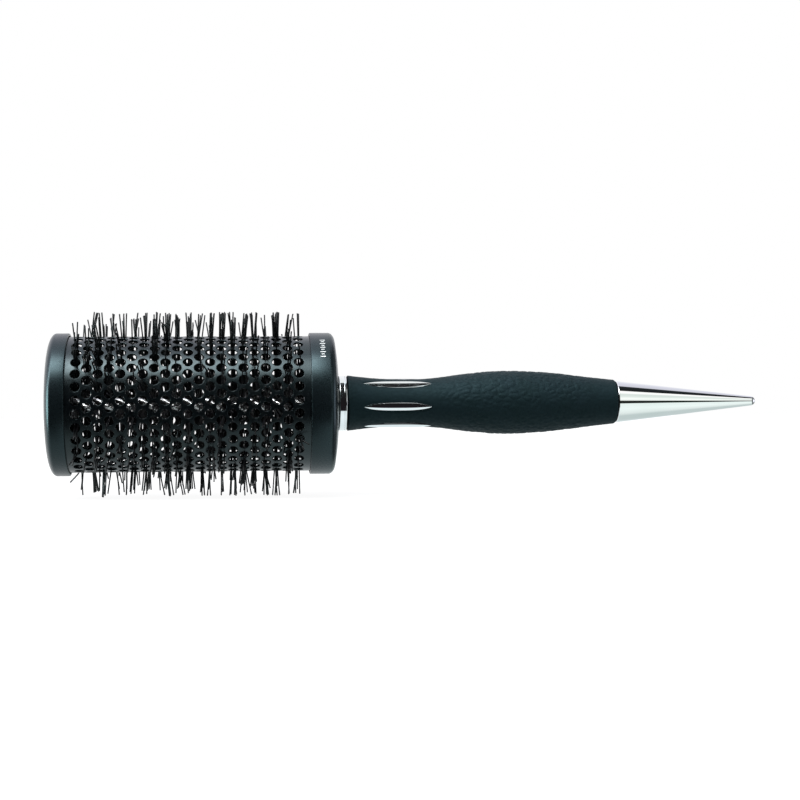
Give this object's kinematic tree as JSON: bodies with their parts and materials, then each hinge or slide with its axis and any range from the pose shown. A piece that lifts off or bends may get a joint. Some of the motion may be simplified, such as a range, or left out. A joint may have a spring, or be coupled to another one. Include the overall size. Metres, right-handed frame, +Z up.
{
  "type": "round barrel hairbrush",
  "caption": "Thermal round brush: perforated barrel with nylon bristles on a twisted-wire core, soft-grip handle and pointed chrome tail.",
  "frame": {"origin": "centre of the front cap's flat face, on the brush's axis", "axes": "+X along the brush's axis from the front face to the tail's tip, +Z up, +Y away from the side in the picture"},
  "size_m": [0.2718, 0.07, 0.07],
  "materials": {
    "cap_plastic": "satin black moulding",
    "inner_plastic": "plain black moulding",
    "barrel_metal": "black stove enamel, semi-gloss",
    "core_steel": "bright drawn wire",
    "bristle_nylon": "black nylon filament",
    "chrome_trim": "polished chrome plate",
    "grip_rubber": "matt black rubber with a fine grain"
  },
  "bodies": {
    "root": {"front_cap": "cap_plastic", "front_plug": "inner_plastic", "barrel_tube": "barrel_metal", "rear_cap": "cap_plastic", "rear_plug": "inner_plastic", "core_wire_a": "core_steel", "core_wire_b": "core_steel", "bristle_ring_01": "bristle_nylon", "bristle_ring_02": "bristle_nylon", "bristle_ring_03": "bristle_nylon", "bristle_ring_04": "bristle_nylon", "bristle_ring_05": "bristle_nylon", "bristle_ring_06": "bristle_nylon", "bristle_ring_07": "bristle_nylon", "bristle_ring_08": "bristle_nylon", "bristle_ring_09": "bristle_nylon", "bristle_ring_10": "bristle_nylon", "bristle_ring_11": "bristle_nylon", "bristle_ring_12": "bristle_nylon", "bristle_ring_13": "bristle_nylon", "bristle_ring_14": "bristle_nylon", "bristle_ring_15": "bristle_nylon", "bristle_ring_16": "bristle_nylon", "bristle_ring_17": "bristle_nylon", "bristle_ring_18": "bristle_nylon", "bristle_ring_19": "bristle_nylon", "bristle_ring_20": "bristle_nylon", "bristle_ring_21": "bristle_nylon", "neck_ferrule": "chrome_trim", "handle_core": "inner_plastic", "grip_sleeve": "grip_rubber", "grip_inlay_1": "chrome_trim", "grip_inlay_2": "chrome_trim", "grip_inlay_3": "chrome_trim", "grip_inlay_4": "chrome_trim", "grip_inlay_5": "chrome_trim", "grip_inlay_6": "chrome_trim", "tail_cone": "chrome_trim", "tail_stud": "core_steel"}
  },
  "joints": []
}
